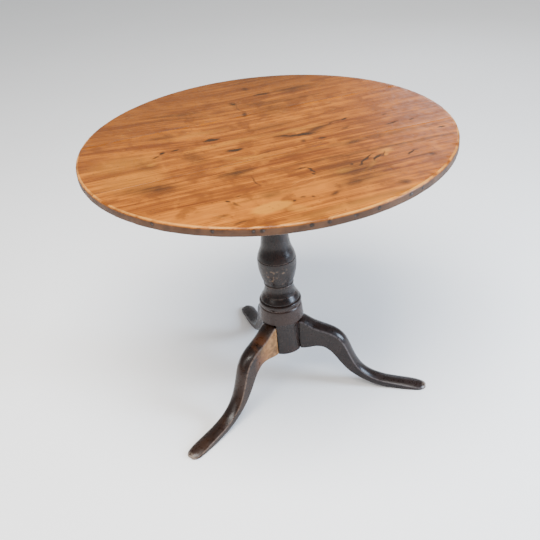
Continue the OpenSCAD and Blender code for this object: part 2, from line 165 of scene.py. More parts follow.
def smoothRun(points, steps):
    # a smooth curve through every point, for points with any number of values
    run = []
    for i in range(len(points) - 1):
        a, b, c, d = (points[min(max(i + k, 0), len(points) - 1)] for k in (-1, 0, 1, 2))
        for k in range(steps):
            t = k / steps
            run.append([
                0.5 * (2 * q + (r - p) * t + (2 * p - 5 * q + 4 * r - s) * t * t
                       + (3 * q - p - 3 * r + s) * t ** 3)
                for p, q, r, s in zip(a, b, c, d)
            ])
    run.append(list(points[-1]))
    return run


def put(tree, kind, inputs=(), **settings):
    # a node with its settings, and its inputs given as values or as sockets to join
    node = tree.nodes.new("ShaderNode" + kind)
    for key, value in settings.items():
        setattr(node, key, value)
    pairs = inputs.items() if isinstance(inputs, dict) else enumerate(inputs)
    for key, value in pairs:
        if value is None:
            continue
        if isinstance(value, bpy.types.NodeSocket):
            tree.links.new(value, node.inputs[key])
        else:
            node.inputs[key].default_value = value
    return node


def maths(tree, operation, a, b=None, clamp=False):
    return put(tree, "Math", [a, b], operation=operation, use_clamp=clamp).outputs[0]


def times(tree, a, b):
    return maths(tree, "MULTIPLY", a, b)


def vectors(tree, operation, a, b=None):
    node = put(tree, "VectorMath", [a, b], operation=operation)
    return node.outputs["Value" if operation == "LENGTH" else "Vector"]


def ramp(tree, value, low, high, toLow=0.0, toHigh=1.0):
    # a smooth step between two values
    node = put(tree, "MapRange", [value, low, high, toLow, toHigh], interpolation_type="SMOOTHSTEP")
    return node.outputs[0]


def blend(tree, amount, a, b, kind="MIX"):
    node = put(tree, "Mix", data_type="RGBA", blend_type=kind)
    for socket, value in zip((node.inputs[0], node.inputs[6], node.inputs[7]), (amount, a, b)):
        if isinstance(value, bpy.types.NodeSocket):
            tree.links.new(value, socket)
        else:
            socket.default_value = value
    return node.outputs[2]


def colour(red, green, blue):
    return (red, green, blue, 1.0)


def noise(tree, vector, scale, detail=4.0, rough=0.5, twist=0.0):
    return put(tree, "TexNoise", {"Vector": vector, "Scale": scale, "Detail": detail, "Roughness": rough,
                                  "Distortion": twist}).outputs["Fac"]


def stretched(tree, vector, x, y, z, turn=0.0):
    return put(tree, "Mapping", {"Vector": vector, "Rotation": (0, 0, turn), "Scale": (x, y, z)}).outputs[0]


def newGroup(name, ins, outs):
    tree = bpy.data.node_groups.new(name, "ShaderNodeTree")
    for label, kind, value in ins:
        socket = tree.interface.new_socket(label, in_out="INPUT", socket_type="NodeSocket" + kind)
        if value is not None:
            socket.default_value = value
    for label, kind in outs:
        tree.interface.new_socket(label, in_out="OUTPUT", socket_type="NodeSocket" + kind)
    return tree, tree.nodes.new("NodeGroupInput").outputs, tree.nodes.new("NodeGroupOutput").inputs


def useGroup(tree, group, inputs):
    node = tree.nodes.new("ShaderNodeGroup")
    node.node_tree = group
    for key, value in inputs.items():
        if isinstance(value, bpy.types.NodeSocket):
            tree.links.new(value, node.inputs[key])
        else:
            node.inputs[key].default_value = value
    return node.outputs


def grainGroup():
    # long streaks along X: fine pores, broad bands and a height for the bump
    tree, given, out = newGroup(
        "grain", [("Vector", "Vector", None), ("Along", "Float", 5.0), ("Across", "Float", 260.0),
                  ("Sway", "Float", 0.01)],
        [("Fine", "Float"), ("Broad", "Float"), ("Height", "Float")])
    sway = noise(tree, stretched(tree, given["Vector"], 3, 9, 9), 1.0, 2.0)
    lift = times(tree, maths(tree, "SUBTRACT", sway, 0.5), given["Sway"])
    moved = vectors(tree, "ADD", given["Vector"], put(tree, "CombineXYZ", [0.0, lift, lift]).outputs[0])
    size = put(tree, "CombineXYZ", [given["Along"], given["Across"], given["Across"]]).outputs[0]
    fine = noise(tree, vectors(tree, "MULTIPLY", moved, size), 1.0, 5.0, 0.6)
    broad = noise(tree, vectors(tree, "MULTIPLY", vectors(tree, "MULTIPLY", moved, size), (0.5, 0.17, 0.17)),
                  1.0, 3.0, 0.55, 0.6)
    height = maths(tree, "ADD", fine, times(tree, broad, 0.5))
    tree.links.new(fine, out["Fine"])
    tree.links.new(broad, out["Broad"])
    tree.links.new(height, out["Height"])
    return tree


def spotGroup():
    # a soft oval about a centre
    tree, given, out = newGroup(
        "spot", [("Vector", "Vector", None), ("Centre", "Vector", None), ("Size", "Vector", (1, 1, 1)),
                 ("Turn", "Float", 0.0), ("Softness", "Float", 0.4)],
        [("Mask", "Float")])
    moved = vectors(tree, "SUBTRACT", given["Vector"], given["Centre"])
    turned = put(tree, "VectorRotate", {"Vector": moved, "Angle": given["Turn"]}, rotation_type="Z_AXIS")
    away = vectors(tree, "LENGTH", vectors(tree, "DIVIDE", turned.outputs[0], given["Size"]))
    low = maths(tree, "ADD", 1.0, given["Softness"])
    high = maths(tree, "SUBTRACT", 1.0, given["Softness"])
    tree.links.new(ramp(tree, away, low, high), out["Mask"])
    return tree


def grimeGroup():
    # uneven tone and small dark pits
    tree, given, out = newGroup(
        "grime", [("Vector", "Vector", None), ("Size", "Float", 18.0), ("Pits", "Float", 0.3)],
        [("Cloud", "Float"), ("Pits", "Float"), ("Gloss", "Float")])
    cloud = noise(tree, given["Vector"], given["Size"], 5.0, 0.55, 0.3)
    cellScale = times(tree, given["Size"], 5.0)
    cells = put(tree, "TexVoronoi", {"Vector": given["Vector"], "Scale": cellScale})
    chance = noise(tree, given["Vector"], times(tree, given["Size"], 1.7), 2.0)
    dots = ramp(tree, cells.outputs["Distance"], times(tree, given["Pits"], 0.9), 0.02)
    pits = times(tree, dots, ramp(tree, chance, 0.52, 0.62))
    gloss = noise(tree, given["Vector"], times(tree, given["Size"], 4.0), 4.0, 0.6)
    tree.links.new(cloud, out["Cloud"])
    tree.links.new(pits, out["Pits"])
    tree.links.new(gloss, out["Gloss"])
    return tree


def scratchGroup():
    # thin marks that run one way and break off
    tree, given, out = newGroup(
        "scratches", [("Vector", "Vector", None), ("Turn", "Float", 0.0), ("Amount", "Float", 0.5)],
        [("Lines", "Float")])
    inputs = {"Vector": given["Vector"], "Angle": given["Turn"]}
    turned = put(tree, "VectorRotate", inputs, rotation_type="Z_AXIS")
    lines = noise(tree, stretched(tree, turned.outputs[0], 14, 620, 30), 1.0, 1.0)
    patches = noise(tree, stretched(tree, turned.outputs[0], 11, 16, 16), 1.0, 2.0)
    thin = ramp(tree, lines, 0.66, 0.72)
    least = maths(tree, "SUBTRACT", 0.72, times(tree, given["Amount"], 0.2))
    some = ramp(tree, patches, least, 0.72)
    tree.links.new(times(tree, thin, some), out["Lines"])
    return tree


grain = grainGroup()
spot = spotGroup()
grime = grimeGroup()
scratches = scratchGroup()


def startMaterial(name):
    material = bpy.data.materials.new(name)
    material.use_nodes = True
    tree = material.node_tree
    shader = next(n for n in tree.nodes if n.type == "BSDF_PRINCIPLED")
    place = tree.nodes.new("ShaderNodeTexCoord").outputs["Object"]
    return material, tree, shader, place


def joinUp(tree, shader, base, rough, height=None, depth=0.3, strength=0.5):
    tree.links.new(base, shader.inputs["Base Color"])
    tree.links.new(rough, shader.inputs["Roughness"])
    if height is not None:
        bump = put(tree, "Bump", {"Height": height, "Strength": strength, "Distance": depth * mm})
        tree.links.new(bump.outputs[0], shader.inputs["Normal"])


def plus(tree, *masks):
    # the strongest of several masks
    total = masks[0] if masks else 0.0
    for mask in masks[1:]:
        total = maths(tree, "MAXIMUM", total, mask)
    return total


topLow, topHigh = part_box("board_middle")
topSize = {
    "radius": topHigh.x,
    "upper": topHigh.z,
    "under": topLow.z,
    "frontJoint": topLow.y,
    "backJoint": topHigh.y,
    "rimRound": 5 * mm,
    "underRound": 3 * mm,
    "jointRound": 0.5 * mm,
    "facets": 300,
    "grid": 14 * mm,
    "gridShift": 0.37,  # keeps the grid off the rim's own points
    "hollows": 0.5 * mm,
    "hollowWidth": 0.09,
    "rimWear": 1.1 * mm,
    "rimWearWidth": 0.016,
}


def makeBoard(name, front, back):
    size = topSize
    deselectAll()
    bpy.ops.mesh.primitive_cylinder_add(
        vertices=size["facets"], radius=size["radius"], depth=size["upper"] - size["under"],
        location=(0, 0, (size["upper"] + size["under"]) / 2))
    board = named(name)
    editOn(board)
    for level, width in ((size["upper"], size["rimRound"]), (size["under"], size["underRound"])):
        pick(board, "edges", lambda e: all(abs(v.z - level) < close for v in ends(e)))
        bpy.ops.mesh.bevel(offset=width, segments=5, affect="EDGES")
    for joint, outer in ((front, False), (back, True)):
        if joint is None:
            continue
        bpy.ops.mesh.select_all(action="SELECT")
        bpy.ops.mesh.bisect(plane_co=(0, joint, 0), plane_no=(0, 1, 0), use_fill=True,
                            clear_inner=not outer, clear_outer=outer)
        pick(board, "edges", lambda e: all(
            abs(v.y - joint) < close and abs(v.z - size["upper"]) < close for v in ends(e)))
        bpy.ops.mesh.bevel(offset=size["jointRound"], segments=2, affect="EDGES")
    # the flat faces get a grid, so that the old surface can be uneven
    lines = int(size["radius"] / size["grid"])
    for axis in ((1, 0, 0), (0, 1, 0)):
        for k in range(-lines, lines + 1):
            bpy.ops.mesh.select_all(action="SELECT")
            place = Vector(axis) * (k + size["gridShift"]) * size["grid"]
            bpy.ops.mesh.bisect(plane_co=place, plane_no=axis)
    editOff()
    face = board.vertex_groups.new(name="face")
    rim = board.vertex_groups.new(name="rim")
    face.add([v.index for v in board.data.vertices if v.co.z > size["upper"] - 1e-5], 1.0, "REPLACE")
    rim.add([v.index for v in board.data.vertices
             if v.co.xy.length > size["radius"] - size["rimRound"] * 0.9], 1.0, "REPLACE")
    unevenness(board, size["hollowWidth"], size["hollows"], "Z", "face")
    unevenness(board, size["rimWearWidth"], size["rimWear"], "NORMAL", "rim")
    smoothOff(board, 30)
    return board


# Marks on the top: place and half sizes in millimetres, turn in degrees, softness, strength.
darkMarks = [
    # knots and small holes
    (-117, 38, 15, 6, 0, 0.5, 0.95), (-90, -43, 17, 7, -6, 0.5, 0.85), (-232, 18, 8, 4, 20, 0.5, 0.9),
    (-206, 21, 6, 3.5, 10, 0.5, 0.85), (-255, 7, 9, 3.5, 25, 0.6, 0.6), (275, -75, 16, 4, 10, 0.6, 0.7),
    (322, -80, 7, 3.5, 25, 0.6, 0.7), (358, -155, 9, 4, 0, 0.6, 0.75), (330, -139, 8, 2.5, -10, 0.7, 0.5),
    (105, -77, 8, 5, 0, 0.6, 0.6), (60, -70, 6, 5, 40, 0.7, 0.5), (172, -46, 9, 5, 20, 0.7, 0.5),
    (285, -20, 7, 4, 30, 0.7, 0.45), (-7, 235, 7, 14, 0, 0.7, 0.65), (-6, 150, 6, 12, 0, 0.7, 0.6),
    (-3, 192, 2.5, 50, 0, 0.8, 0.35), (80, 266, 16, 8, 0, 0.7, 0.7), (55, 325, 7, 12, 0, 0.8, 0.5),
    # the long dark smudge with its tail
    (78, -36, 34, 9, -2, 0.7, 0.85), (40, -27, 22, 5, -22, 0.7, 0.8), (118, -22, 30, 10, 22, 0.8, 0.55),
    (165, -3, 38, 3, 14, 0.8, 0.45), (192, 4, 9, 4, 25, 0.6, 0.85),
    # broad stains
    (-290, -150, 48, 22, -14, 0.9, 0.5), (-120, -160, 32, 16, 0, 0.9, 0.55),
    (-178, -40, 16, 36, 12, 0.95, 0.3), (-285, -35, 18, 34, 12, 0.95, 0.3),
    (155, -131, 22, 14, 15, 0.9, 0.5), (170, 264, 62, 18, -4, 0.9, 0.45), (68, 148, 34, 36, 0, 0.95, 0.3),
    (20, 44, 58, 13, 0, 0.9, 0.3), (60, 205, 70, 10, -5, 0.9, 0.3), (105, -262, 62, 58, -40, 0.9, 0.42),
    (95, -308, 48, 16, 0, 0.9, 0.5), (-92, -284, 22, 14, 0, 0.9, 0.45), (25, -338, 15, 7, 30, 0.8, 0.55),
    (162, -358, 13, 10, 0, 0.8, 0.55), (270, -268, 6, 10, 0, 0.8, 0.5), (150, 440, 200, 90, -30, 0.95, 0.3),
    (-215, 112, 26, 11, -8, 0.9, 0.35), (-160, 236, 60, 9, -14, 0.9, 0.35),
    # the hooked mark and the strokes about the burr
    (6, -202, 10, 2.6, 8, 0.6, 0.75), (22, -209, 7, 3.2, -50, 0.6, 0.8), (25, -224, 3, 12, 8, 0.6, 0.8),
    (19, -241, 4.5, 3.5, 0, 0.6, 0.7), (130, -238, 20, 3.4, 38, 0.6, 0.75),
    (150, -222, 22, 3.6, 42, 0.6, 0.8), (168, -230, 19, 3.4, 45, 0.6, 0.8),
    (183, -220, 13, 2.4, 58, 0.6, 0.6), (102, -236, 5, 5, 0, 0.6, 0.7), (236, -240, 13, 3.4, 40, 0.6, 0.75),
    (251, -231, 9, 2.8, -8, 0.6, 0.7), (240, -264, 44, 3, 4, 0.8, 0.45),
    # nicks near the front
    (-172, -275, 6, 3.5, -30, 0.6, 0.7), (-158, -292, 3, 13, 22, 0.6, 0.5),
    (-150, -265, 5, 2.5, 0, 0.6, 0.6), (-93, -214, 2.4, 22, 4, 0.7, 0.55), (-60, -330, 4.5, 5, 0, 0.6, 0.6),
    (-40, -325, 4, 4, 0, 0.6, 0.5), (-20, -331, 4, 3.5, 0, 0.6, 0.5), (-172, -366, 12, 5, 20, 0.8, 0.45),
    (-200, -330, 9, 4, 0, 0.8, 0.4),
    # streaks along the grain
    (150, -127, 260, 8, -1, 0.9, 0.28), (180, -190, 210, 6, -3, 0.9, 0.42),
    (-60, -288, 150, 5, 1, 0.9, 0.3), (-30, -90, 34, 3, 4, 0.8, 0.35), (110, 190, 90, 6, 2, 0.9, 0.3),
    (-150, 205, 95, 5, -13, 0.9, 0.35),
]
paleMarks = [
    (-104, -336, 38, 20, 6, 0.25, 0.75), (-60, -362, 26, 12, -30, 0.5, 0.4),
    (78, -256, 17, 11, 0, 0.7, 0.6), (196, -207, 14, 8, 0, 0.8, 0.65), (186, -226, 6, 4, 30, 0.6, 0.7),
    (-276, -30, 9, 8, 0, 0.8, 0.55), (-70, -95, 44, 9, -16, 0.9, 0.4), (-90, -114, 52, 2.4, 0, 0.8, 0.5),
    (-140, 88, 60, 12, 0, 0.9, 0.3), (-95, 2, 80, 10, 2, 0.9, 0.35), (70, -4, 50, 10, 0, 0.9, 0.4),
    (-330, 5, 60, 34, 0, 0.95, 0.35), (140, -255, 30, 4, 40, 0.8, 0.4), (-330, -90, 60, 40, 0, 0.95, 0.3),
    (60, -395, 120, 14, 4, 0.9, 0.35),
]

markSpread = 1.6  # a mark's soft edge and the grain's drift reach this much past it


def marksOn(tree, place, marks, front, back):
    # one mask for the marks that reach this board
    edges = (-math.inf if front is None else front / mm, math.inf if back is None else back / mm)
    masks = []
    for x, y, halfX, halfY, turn, softness, strength in marks:
        reach = max(halfX * abs(math.sin(math.radians(turn))), halfY) * markSpread
        if y + reach < edges[0] or y - reach > edges[1]:
            continue
        oval = useGroup(tree, spot, {
            "Vector": place, "Centre": (x * mm, y * mm, 0), "Size": (halfX * mm, halfY * mm, 1),
            "Turn": -math.radians(turn), "Softness": softness})["Mask"]
        masks.append(times(tree, oval, strength))
    return plus(tree, *masks)


tackSize = {
    "shank": 0.9 * mm,
    "length": 9 * mm,
    "head": 0.9 * mm,
    "headEdge": 0.6 * mm,
    "headSpread": 2.4,
    "crownShare": 0.6,
    "stain": 4.5 * mm,
    "headReach": 0.5 * mm,  # points of a head stand within this of the rim
    "apart": 0.3,  # degrees between two tacks at the least
}


def tackAngles():
    # where the tacks stand round the rim, read from their own heads
    reach = topSize["radius"] - tackSize["headReach"]
    heads = [v.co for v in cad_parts["rim_tacks"].data.vertices if v.co.xy.length > reach]
    turns = sorted(math.degrees(math.atan2(p.y, p.x)) for p in heads)
    groups = [[turns[0]]]
    for turn in turns[1:]:
        if turn - groups[-1][-1] > tackSize["apart"]:
            groups.append([])
        groups[-1].append(turn)
    return [(g[0] + g[-1]) / 2 for g in groups]


tacks = tackAngles()
tackLow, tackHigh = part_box("rim_tacks")
tackLevel = (tackLow.z + tackHigh.z) / 2


def tackStains(tree, place, front, back):
    masks = []
    for turn in tacks:
        x = topSize["radius"] * math.cos(math.radians(turn))
        y = topSize["radius"] * math.sin(math.radians(turn))
        if (front is not None and y < front) or (back is not None and y > back):
            continue
        oval = useGroup(tree, spot, {
            "Vector": place, "Centre": (x, y, tackLevel), "Size": (tackSize["stain"],) * 3,
            "Softness": 0.5})["Mask"]
        masks.append(oval)
    return plus(tree, *masks)


boardTones = {
    "darkBand": colour(0.19, 0.066, 0.008),
    "lightBand": colour(0.62, 0.28, 0.047),
    "pores": colour(0.13, 0.040, 0.005),
    "broad": colour(0.66, 0.31, 0.07),
    "dirty": colour(0.17, 0.064, 0.010),
    "clean": colour(0.64, 0.30, 0.055),
    "backLeft": colour(0.20, 0.085, 0.006),
    "right": colour(0.42, 0.15, 0.03),
    "paleMark": colour(0.42, 0.16, 0.010),
    "darkMark": colour(0.030, 0.012, 0.003),
    "pits": colour(0.06, 0.02, 0.005),
    "scratch": colour(0.48, 0.24, 0.06),
    "rimDark": colour(0.012, 0.005, 0.002),
    "rimLight": colour(0.070, 0.030, 0.012),
    "rimDull": colour(0.10, 0.075, 0.06),
    # arris: the colour of a painted highlight along the top's upper arris
    "arris": colour(0.56, 0.26, 0.055),
    "tackStain": colour(0.012, 0.009, 0.008),
    "bareDark": colour(0.075, 0.038, 0.018),
    "bareLight": colour(0.19, 0.105, 0.052),
}


def slantedGrain(tree, place, parts, shift):
    # the far left of the top has its grain at a slant
    slant = ramp(tree, parts["X"], 0.05, -0.25)
    bend = times(tree, times(tree, slant, ramp(tree, parts["Y"], -0.05, 0.12)), times(tree, parts["X"], 0.16))
    lift = put(tree, "CombineXYZ", [0.0, bend, 0.0]).outputs[0]
    return vectors(tree, "ADD", vectors(tree, "ADD", place, shift), lift)


def bareBoard(tree, parts, streak, bands, dirt):
    # the wood itself, before its marks
    tones = boardTones
    base = blend(tree, ramp(tree, bands["Fine"], 0.3, 0.72), tones["darkBand"], tones["lightBand"])
    base = blend(tree, ramp(tree, streak["Fine"], 0.30, 0.62, 0.8, 0.0), base, tones["pores"])
    base = blend(tree, ramp(tree, bands["Broad"], 0.52, 0.75, 0.0, 0.55), base, tones["broad"])
    base = blend(tree, ramp(tree, dirt["Cloud"], 0.5, 0.66, 0.0, 0.7), base, tones["dirty"])
    base = blend(tree, ramp(tree, dirt["Cloud"], 0.46, 0.3, 0.0, 0.4), base, tones["clean"])
    # darker and browner towards the back left, redder towards the right
    backward = maths(tree, "SUBTRACT", parts["Y"], times(tree, parts["X"], 0.3))
    base = blend(tree, times(tree, ramp(tree, backward, 0.05, 0.42), 0.55), base, tones["backLeft"])
    return blend(tree, ramp(tree, parts["X"], 0.1, 0.4, 0.0, 0.22), base, tones["right"])


def rimDirtAndArrisHighlight(tree, base, place, level, dirt):
    # the rim is dirty and dark below its arris, and a pale painted highlight runs along the arris
    tones, radius, upper = boardTones, topSize["radius"], topSize["upper"]
    reach = vectors(tree, "LENGTH", vectors(tree, "MULTIPLY", place, (1, 1, 0)))
    outer = ramp(tree, reach, radius - 6 * mm, radius - 1 * mm)
    side = times(tree, outer, ramp(tree, level, upper - 2.0 * mm, upper - 5.5 * mm))
    tone = blend(tree, ramp(tree, dirt["Cloud"], 0.35, 0.65), tones["rimDark"], tones["rimLight"])
    tone = blend(tree, times(tree, dirt["Gloss"], 0.4), tone, tones["rimDull"])
    base = blend(tree, times(tree, side, 0.9), base, tone)
    # a painted highlight along the upper arris, broken up in patches
    arris = times(tree, ramp(tree, reach, radius - 6.5 * mm, radius - 4.5 * mm),
                  ramp(tree, level, upper - 3.2 * mm, upper - 1.2 * mm))
    wearAndHighlight = times(tree, arris, ramp(tree, dirt["Cloud"], 0.62, 0.42))
    return blend(tree, times(tree, wearAndHighlight, 0.6), base, tones["arris"]), side


def boardWood(name, front, back, shift, tone):
    # old waxed fruitwood: golden brown, streaked, stained and worn
    tones = boardTones
    material, tree, shader, place = startMaterial(name)
    wander = put(tree, "TexNoise", {"Vector": place, "Scale": 26.0, "Detail": 3.0}).outputs["Color"]
    drift = vectors(tree, "SUBTRACT", wander, (0.5, 0.5, 0.5))
    drift = vectors(tree, "MULTIPLY", drift, (0.03, 0.02, 0.0))
    loose = vectors(tree, "ADD", place, drift)
    flat = vectors(tree, "MULTIPLY", loose, (1, 1, 0))
    parts = put(tree, "SeparateXYZ", [place]).outputs
    moved = slantedGrain(tree, place, parts, shift)
    streak = useGroup(tree, grain, {"Vector": moved, "Along": 7.0, "Across": 300.0, "Sway": 0.02})
    bands = useGroup(tree, grain, {"Vector": moved, "Along": 2.4, "Across": 70.0, "Sway": 0.03})
    dirt = useGroup(tree, grime, {"Vector": moved, "Size": 20.0, "Pits": 0.34})
    base = blend(tree, 1.0, bareBoard(tree, parts, streak, bands, dirt), tone, "MULTIPLY")
    base = blend(tree, marksOn(tree, flat, paleMarks, front, back), base, tones["paleMark"])
    edge = ramp(tree, streak["Fine"], 0.35, 0.6, 1.7, 1.2)
    dark = maths(tree, "MULTIPLY", marksOn(tree, flat, darkMarks, front, back), edge, clamp=True)
    base = blend(tree, dark, base, tones["darkMark"])
    base = blend(tree, times(tree, dirt["Pits"], 0.7), base, tones["pits"])
    lines = useGroup(tree, scratches, {"Vector": place, "Turn": 0.9, "Amount": 0.5})["Lines"]
    across = useGroup(tree, scratches, {"Vector": moved, "Turn": -0.5, "Amount": 0.4})["Lines"]
    base = blend(tree, times(tree, plus(tree, lines, across), 0.35), base, tones["scratch"])
    base, side = rimDirtAndArrisHighlight(tree, base, place, parts["Z"], dirt)
    stains = tackStains(tree, loose, front, back)
    base = blend(tree, times(tree, stains, 0.85), base, tones["tackStain"])
    # the underside never had any polish
    below = ramp(tree, parts["Z"], topSize["under"] + 2.5 * mm, topSize["under"] + 0.5 * mm)
    bare = blend(tree, ramp(tree, streak["Fine"], 0.35, 0.65), tones["bareDark"], tones["bareLight"])
    base = blend(tree, below, base, bare)
    rough = ramp(tree, dirt["Gloss"], 0.3, 0.7, 0.30, 0.46)
    rough = maths(tree, "ADD", rough, times(tree, plus(tree, side, below), 0.18))
    rough = maths(tree, "ADD", rough, times(tree, dark, 0.12), clamp=True)
    height = maths(tree, "SUBTRACT", streak["Height"], times(tree, dirt["Pits"], 2.0))
    height = maths(tree, "SUBTRACT", height, times(tree, dark, 0.8))
    height = maths(tree, "ADD", height, times(tree, dirt["Gloss"], 0.5))
    joinUp(tree, shader, base, rough, height, 0.16, 0.7)
    shader.inputs["Coat Weight"].default_value = 0.04
    shader.inputs["Specular IOR Level"].default_value = 0.2
    shader.inputs["Coat Roughness"].default_value = 0.3
    return material


boards = {
    "front": {"node": "board_front", "edges": (None, topSize["frontJoint"]), "shift": (0.3, 0.0, 0.0),
              "tone": colour(0.66, 0.44, 0.11)},
    "middle": {"node": "board_middle", "edges": (topSize["frontJoint"], topSize["backJoint"]),
               "shift": (0.9, 0.35, 0.0), "tone": colour(0.64, 0.43, 0.10)},
    "back": {"node": "board_back", "edges": (topSize["backJoint"], None), "shift": (1.7, 0.8, 0.0),
             "tone": colour(0.57, 0.38, 0.08)},
}
for label, facts in boards.items():
    board = makeBoard(label + "_board", *facts["edges"])
    finish = boardWood(label + " board", *facts["edges"], facts["shift"], facts["tone"])
    fitPiece(board, "top", "top_wood", finish, facts["node"])
print("boards made")


columnLow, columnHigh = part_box("column")
footLevel = columnLow.z
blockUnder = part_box("tilt_block")[0].z


def bead(radius, level, half, proud, steps=10):
    # points up the half round of a bead
    turns = [math.pi * k / steps for k in range(steps + 1)]
    return [(radius + proud * math.sin(t), level - half * math.cos(t)) for t in turns]


# The turner's outline: radius and height in millimetres, heights from the underside of the column
turning = {
    "foot": [(0, 0), (49.8, 0), (50.8, 1.2), (53.4, 94.0), (53.8, 95.0)],
    "drum": [(56.4, 95.0), (57.0, 95.9), (56.8, 98.5), (56.3, 102), (55.2, 116), (53.9, 130), (53.5, 131.5),
             (52.0, 133.2), (51.6, 134.2)],
    "drumBead": bead(51.6, 142.2, 6.6, 2.5, 12),
    "aboveBead": [(49.6, 150.4), (49.6, 151.2)],
    "bulb": [(50.2, 151.8), (50.0, 153.5), (47.6, 158), (44.4, 163), (42.4, 166.2)],
    "bulbLine": [(41.3, 166.9), (41.3, 167.6)],
    "neck": [(41.9, 168.3), (38.9, 176), (37.3, 182), (36.8, 187), (36.9, 193.2)],
    "ring": bead(36.9, 196.2, 2.2, 1.3, 8),
    "vase": [(37.1, 198.9), (38.9, 205), (41.2, 211), (44.0, 222), (46.7, 234), (48.4, 246), (49.0, 257),
             (48.9, 265), (48.5, 269.2)],
    "vaseLine": [(47.3, 270.0), (47.3, 270.7)],
    "shoulder": [(48.2, 271.6), (45.3, 282), (40.8, 294), (37.2, 306), (34.8, 323), (31.0, 350),
                 (29.2, 373.5)],
    "collar": bead(29.2, 379, 5, 4.6, 12),
    "pillar": [(28.2, 385), (28.2, 391)],
    "topBead": bead(32.8, 516.6, 3, 3, 8),
}
curved = ("bulb", "neck", "vase", "shoulder")


def turnedOutline():
    # the turned profile up to its neck, then the rings under the block and the tenon through it
    under, top = (blockUnder - footLevel) / mm, (columnHigh.z - footLevel) / mm
    tenon = columnSize["tenon"]
    points = []
    for name in ("foot", "drum", "drumBead", "aboveBead", "bulb", "bulbLine", "neck", "ring", "vase",
                 "vaseLine", "shoulder", "collar", "pillar"):
        points += smoothRun(turning[name], 4) if name in curved else turning[name]
    points += [(31.8, under - 23), (31.2, under - 19)] + turning["topBead"]
    points += [(35.8, under - 11), (37.0, under - 0.6), (36.4, under), (tenon, under),
               (tenon, top - 0.6), (tenon - 0.6, top), (0, top)]
    return [(r * mm, footLevel + z * mm) for r, z in points]


def spun(name, outline, steps):
    # one vertex is drawn along the outline and turned round the Z axis
    deselectAll()
    bpy.ops.mesh.primitive_plane_add(size=0.01, location=(outline[0][0], 0, outline[0][1]))
    piece = named(name)
    editOn(piece)
    bpy.ops.mesh.select_mode(type="VERT")
    bpy.ops.mesh.select_all(action="SELECT")
    bpy.ops.mesh.merge(type="CENTER")
    for (r0, z0), (r1, z1) in zip(outline, outline[1:]):
        bpy.ops.mesh.extrude_region_move(TRANSFORM_OT_translate={"value": (r1 - r0, 0, z1 - z0)})
    bpy.ops.mesh.select_all(action="SELECT")
    bpy.ops.mesh.spin(steps=steps, angle=2 * math.pi, center=(0, 0, 0), axis=(0, 0, 1))
    bpy.ops.mesh.select_all(action="SELECT")
    bpy.ops.mesh.remove_doubles(threshold=1e-5)
    bpy.ops.mesh.normals_make_consistent(inside=False)
    editOff()
    return piece


columnSize = {
    "tenon": 18,  # radius in millimetres, as in the turner's outline
    "facets": 144,
    "flatPlay": 0.1 * mm,
    "flatOut": 80 * mm,
    "flatHigh": 95 * mm,
    "wedgeHalf": 1.8 * mm,
    "wedgeLong": 20 * mm,
    "wedgeDeep": 28 * mm,
    "hollows": 0.35 * mm,
    "hollowWidth": 0.05,
}
legSize = {
    "turns": (-150, -30, 90),
    "names": ("left_leg", "right_leg", "back_leg"),
    "nodes": ("leg_left", "leg_right", "leg_back"),
    "width": 44 * mm,
    "shoulder": 45.3 * mm,
    "crown": 9 * mm,
    "arris": 1.2 * mm,
    "arrisOut": 20.4 * mm,  # the arris painted with a highlight is on points past this
    "lowRound": 3.5 * mm,
    "cut": 2 * mm,  # where the sides start, below the arrises
    "upperSide": 8 * mm,
    "lowerSide": 22 * mm,
    "sidesFrom": -8 * mm,  # points below this are on the sides
    "undersideFrom": -27 * mm,  # points below this are on the underside and its eased corners
    "crownShare": 0.7,
    "sideShare": 0.55,
    "thin": 20 * mm,  # a section lower than this has its corners eased less
    "shoulderGap": 0.4 * mm,
    "hollows": 0.7 * mm,
    "hollowWidth": 0.03,
}
legUnder = -(legSize["cut"] + legSize["upperSide"] + legSize["lowerSide"])  # the section's flat underside


def makeColumn():
    size = columnSize
    column = spun("turned_column", turnedOutline(), size["facets"])
    # the three flats that the legs' shoulders stand against, and the wedge's slot
    half = legSize["width"] / 2 + size["flatPlay"]
    for turn in legSize["turns"]:
        low = (legSize["shoulder"], -half, footLevel - past)
        cutter = cubeBetween("cutter", low, (size["flatOut"], half, footLevel + size["flatHigh"]))
        cutter.data.transform(Matrix.Rotation(math.radians(turn), 4, "Z"))
        carve(column, cutter)
    low = (-size["wedgeHalf"], -size["wedgeLong"], columnHigh.z - size["wedgeDeep"])
    wedge = cubeBetween("cutter", low, (size["wedgeHalf"], size["wedgeLong"], columnHigh.z + past))
    carve(column, wedge)
    unevenness(column, size["hollowWidth"], size["hollows"])
    smoothOff(column, 34)
    return column


# Stations down a leg, in millimetres: the upper line's distance and height, the lower line's,
# then width and crown.
legStations = [
    (45.3, 216.8, 45.3, 122.0, 44.0, 9.5), (59, 213.6, 56, 122.6, 44.0, 9.5),
    (81, 199.0, 71, 125.6, 43.6, 9.6), (106, 189.6, 84, 129.2, 43.0, 9.8),
    (130, 180.8, 97, 130.4, 42.3, 10.0), (151, 168.6, 108, 128.2, 41.4, 10.0),
    (166, 151.0, 118, 121.8, 40.4, 9.6), (175, 131.0, 129, 111.8, 39.4, 9.0),
    (183, 108.5, 141, 94.5, 38.4, 8.6), (193, 84.5, 156, 72.0, 37.6, 8.2),
    (207, 61.0, 176, 49.0, 37.0, 7.8), (228, 42.4, 204, 28.5, 37.0, 7.4), (255, 30.6, 240, 11.6, 37.4, 7.0),
    (284, 24.6, 277, 3.6, 38.4, 6.8), (311, 20.9, 308, 0.4, 39.8, 6.8), (334, 18.0, 333, 0.0, 41.2, 7.0),
    (350, 15.2, 350, 0.0, 40.6, 7.4), (361, 12.6, 361, 0.2, 36.0, 7.0), (368, 9.8, 368, 0.8, 27.0, 6.0),
    (372.4, 7.0, 372.4, 2.0, 14.0, 3.4),
]


